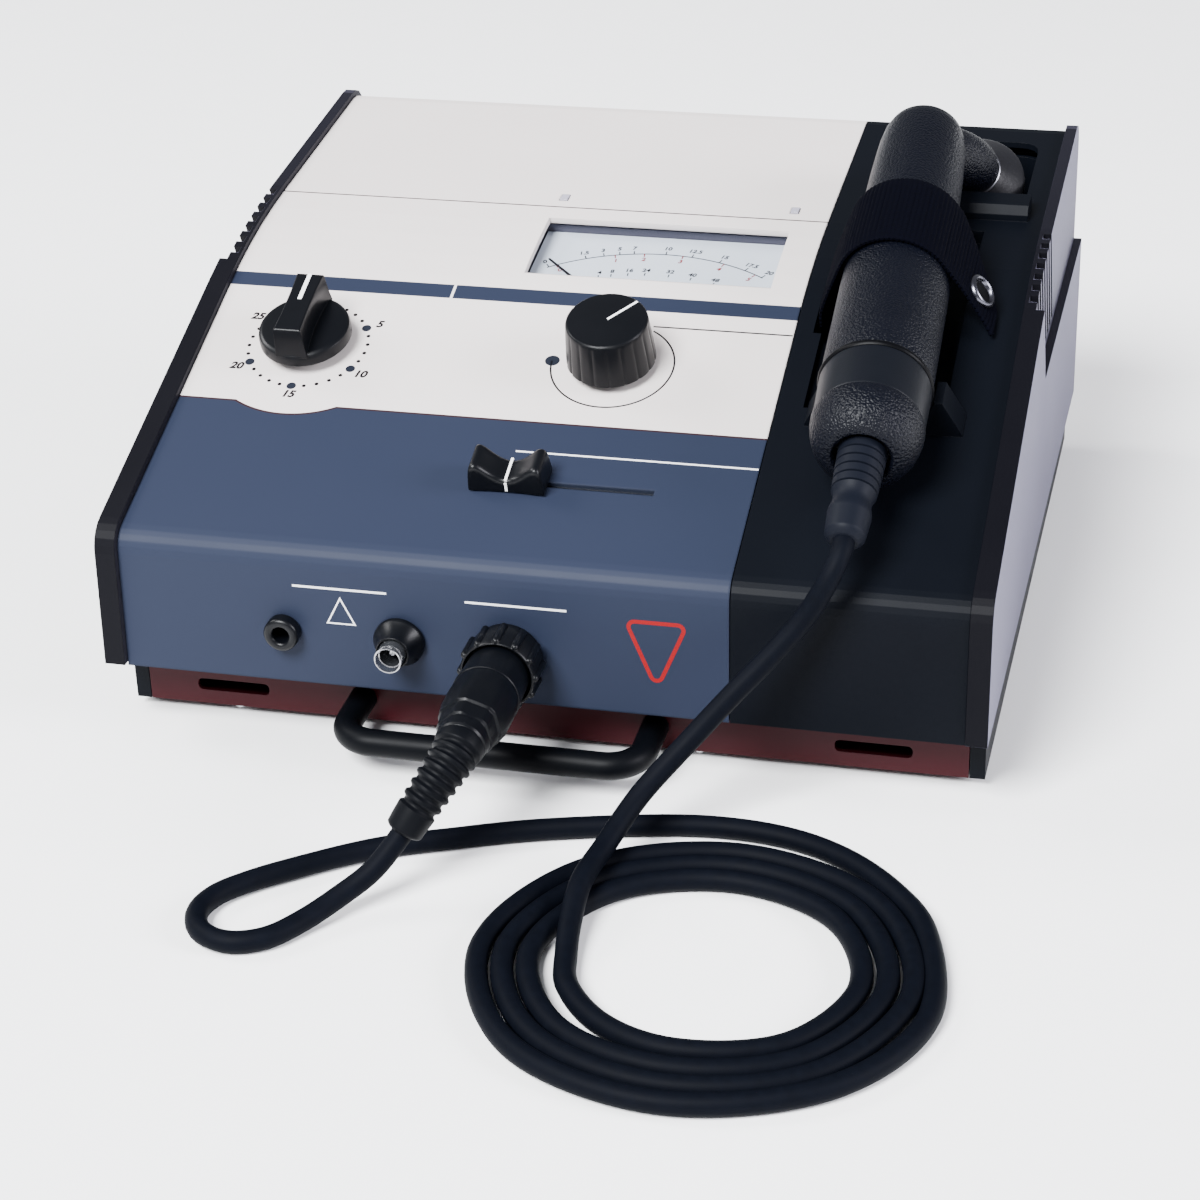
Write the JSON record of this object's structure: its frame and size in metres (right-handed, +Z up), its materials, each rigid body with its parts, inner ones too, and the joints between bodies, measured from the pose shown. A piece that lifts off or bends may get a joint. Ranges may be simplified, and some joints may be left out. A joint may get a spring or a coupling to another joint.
{
  "type": "ultrasound therapy device",
  "caption": "Desktop ultrasound therapy console with timer, intensity knob, slider, power meter, cradle tray, strapped applicator handset, coiled cord, plug and front carry handle.",
  "frame": {"origin": "on the surface the feet stand on, under the middle of the unit without its cord", "axes": "+Z up, +Y from the front face to the back, +X to the right as the user sees the front"},
  "size_m": [0.335, 0.5255, 0.1853],
  "materials": {
    "black_plastic": "fine-textured satin black",
    "gloss_black": "glossy moulded black",
    "maroon_paint": "satin maroon paint",
    "panel_paint": "satin off-white and slate-blue print",
    "rubber": "matte",
    "grip_rubber": "pebbled matte",
    "cord_jacket": "smooth matte",
    "webbing": "ribbed elastic webbing",
    "steel": "plated",
    "aluminium": "turned",
    "copper": "enamelled winding",
    "ceramic": "silvered ceramic",
    "board": "lacquered laminate",
    "card": "printed card",
    "clear_plastic": "clear moulded"
  },
  "bodies": {
    "console": {"base_chassis": "maroon_paint", "side_rail_left": "black_plastic", "side_rail_right": "black_plastic", "foot_1": "rubber", "foot_2": "rubber", "foot_3": "rubber", "foot_4": "rubber", "carry_handle": "black_plastic", "handle_nut_left": "steel", "handle_nut_right": "steel", "control_panel": "panel_paint", "handset_tray": "black_plastic", "end_cap_left": "black_plastic", "end_cap_right": "black_plastic", "rear_panel": "black_plastic", "mains_inlet": "black_plastic", "fuse_holder": "black_plastic", "fuse": "clear_plastic", "meter_case": "black_plastic", "meter_movement": "steel", "meter_card": "card", "meter_lens": "clear_plastic", "lamp_output": "clear_plastic", "lamp_interrupt": "clear_plastic", "timer_mechanism": "steel", "intensity_control": "steel", "slide_control": "steel", "stimulator_jack": "gloss_black", "output_post_collar": "gloss_black", "output_post_tube": "clear_plastic", "output_socket": "gloss_black", "plug_body": "gloss_black", "plug_boot": "rubber", "handset_tail_cap": "grip_rubber", "handset_collar": "black_plastic", "handset_seal": "rubber", "handset_grip": "grip_rubber", "transducer_head": "black_plastic", "transducer_crystal": "ceramic", "transducer_face": "aluminium", "handset_boot": "rubber", "strap": "webbing", "strap_stud": "steel", "transformer_core": "steel", "transformer_coil": "copper", "circuit_board": "board", "heat_sink": "aluminium", "cord_drop": "cord_jacket", "cord_coil": "cord_jacket", "cord_tail": "cord_jacket"},
    "timer_dial": {"timer_knob": "gloss_black", "timer_shaft": "steel"},
    "intensity_dial": {"intensity_knob": "gloss_black", "intensity_shaft": "steel"},
    "rate_slider": {"slider_knob": "gloss_black", "slider_stem": "steel"},
    "meter_pointer": {"meter_needle": "gloss_black"},
    "coupling_ring": {"plug_ring": "gloss_black"},
    "fuse_carrier": {"fuse_cap": "gloss_black"}
  },
  "joints": [
    {"name": "timer_turn", "type": "hinge", "parent": "console", "child": "timer_dial", "pos_m": [-0.11635, -0.04598, 0.1175], "axis": [0, -0.3181, 0.9481], "range_deg": [-348, 0]},
    {"name": "intensity_turn", "type": "hinge", "parent": "console", "child": "intensity_dial", "pos_m": [0.0068, -0.04532, 0.11773], "axis": [0, -0.3181, 0.9481], "range_deg": [-230, 0]},
    {"name": "rate_slide", "type": "slide", "parent": "console", "child": "rate_slider", "axis": [1, 0, 0], "range_m": [0, 0.045]},
    {"name": "pointer_sweep", "type": "hinge", "parent": "console", "child": "meter_pointer", "pos_m": [0.0096, -0.0198, 0.12934], "axis": [0, -0.1758, 0.9844], "range_deg": [-90, 0], "stiffness_Nm_per_rad": 0.001},
    {"name": "coupling_turn", "type": "hinge", "parent": "console", "child": "coupling_ring", "pos_m": [-0.0086, -0.1532, 0.0482], "axis": [0, -1, 0], "range_deg": [0, 90]},
    {"name": "fuse_cap_turn", "type": "hinge", "parent": "console", "child": "fuse_carrier", "pos_m": [-0.07, 0.1655, 0.066], "axis": [0, 1, 0], "range_deg": [0, 60]}
  ]
}
